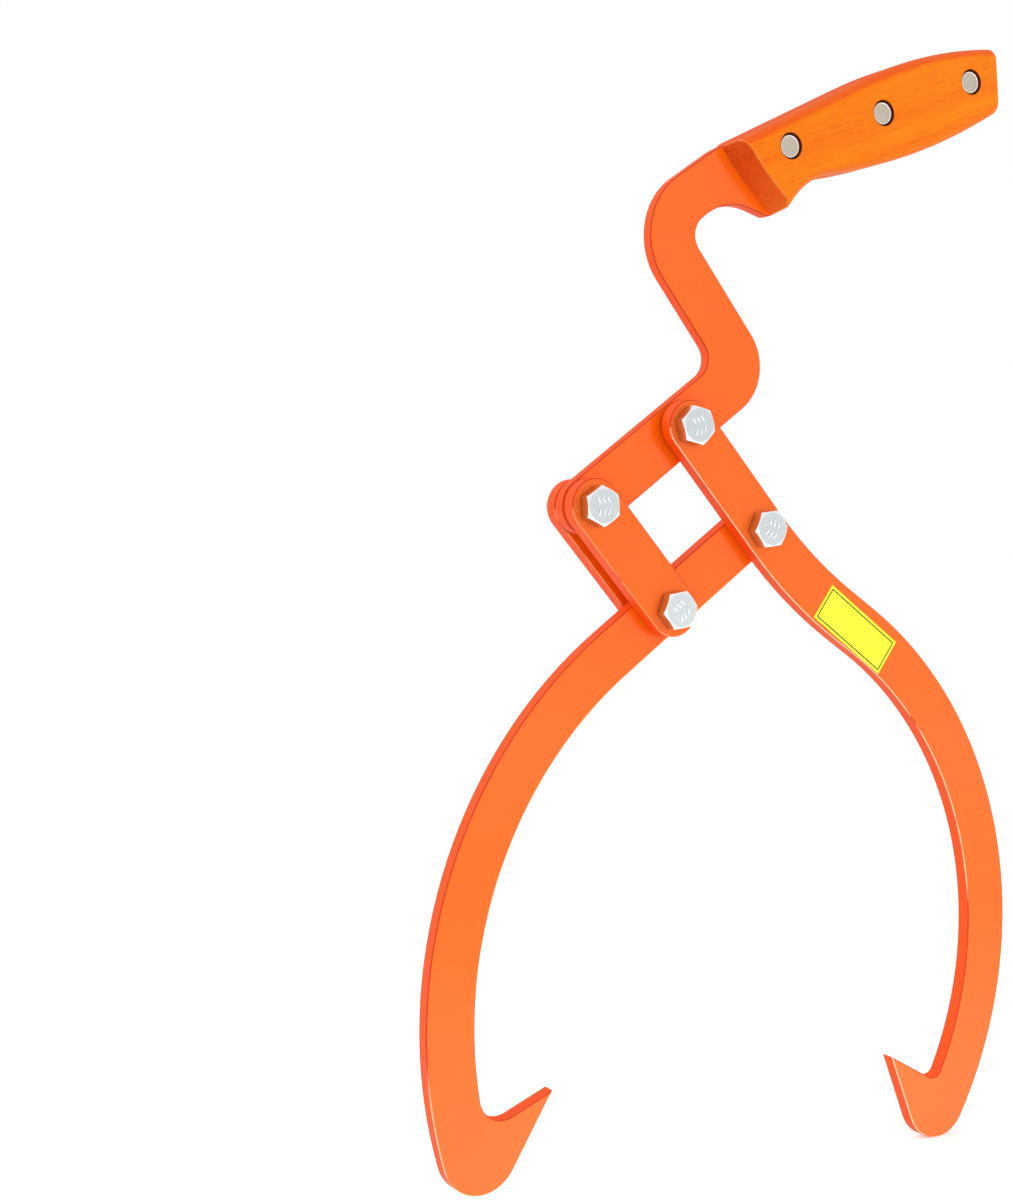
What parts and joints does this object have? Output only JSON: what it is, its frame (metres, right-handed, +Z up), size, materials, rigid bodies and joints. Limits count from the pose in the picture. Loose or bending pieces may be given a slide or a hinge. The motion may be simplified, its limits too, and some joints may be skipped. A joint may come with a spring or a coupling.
{
  "type": "log tongs",
  "caption": "Log tongs: hooked flat steel jaws on a scissor linkage that tightens as the load pulls, carried by a cranked bar with a riveted wooden handle.",
  "frame": {"origin": "centre of the middle handle rivet, in the middle of the handle bar's thickness", "axes": "+Z up from the jaws to the handle, +X to the right seen from the front, -Y out of the front (bolt heads)"},
  "size_m": [0.2594, 0.0353, 0.4359],
  "materials": {
    "orange_coat": "satin powder coat",
    "varnished_wood": "satin varnish",
    "zinc_steel": "bright zinc plate",
    "rivet_metal": "brushed",
    "nylon": "matte"
  },
  "bodies": {
    "handle": {"handle_bar": "orange_coat", "handle_scale_front": "varnished_wood", "handle_scale_back": "varnished_wood", "rivet_post_neck": "rivet_metal", "rivet_post_middle": "rivet_metal", "rivet_post_butt": "rivet_metal", "rivet_cap_neck": "rivet_metal", "rivet_cap_middle": "rivet_metal", "rivet_cap_butt": "rivet_metal", "pivot_bolt_top": "zinc_steel", "lock_nut_top": "zinc_steel", "nut_ring_top": "nylon", "pivot_bolt_left": "zinc_steel", "lock_nut_left": "zinc_steel", "nut_ring_left": "nylon"},
    "right_jaw": {"right_jaw": "orange_coat", "pivot_bolt_right": "zinc_steel", "lock_nut_right": "zinc_steel", "nut_ring_right": "nylon"},
    "links": {"front_link": "orange_coat", "back_link": "orange_coat", "pivot_bolt_bottom": "zinc_steel", "lock_nut_bottom": "zinc_steel", "nut_ring_bottom": "nylon"},
    "left_jaw": {"left_jaw": "orange_coat"}
  },
  "joints": [
    {"name": "right_jaw_pivot", "type": "hinge", "parent": "handle", "child": "right_jaw", "pos_m": [-0.085, 0, -0.1215], "axis": [0, -1, 0], "range_deg": [-70, 60]},
    {"name": "link_pivot", "type": "hinge", "parent": "handle", "child": "links", "pos_m": [-0.12536, 0, -0.15102], "axis": [0, -1, 0], "range_deg": [-70, 60]},
    {"name": "left_jaw_pivot", "type": "hinge", "parent": "links", "child": "left_jaw", "pos_m": [-0.09237, 0, -0.18859], "axis": [0, -1, 0], "range_deg": [-60, 70]}
  ],
  "couplings": [
    {"joint": "link_pivot", "follows": "right_jaw_pivot", "ratio": 1},
    {"joint": "left_jaw_pivot", "follows": "right_jaw_pivot", "ratio": -1}
  ]
}
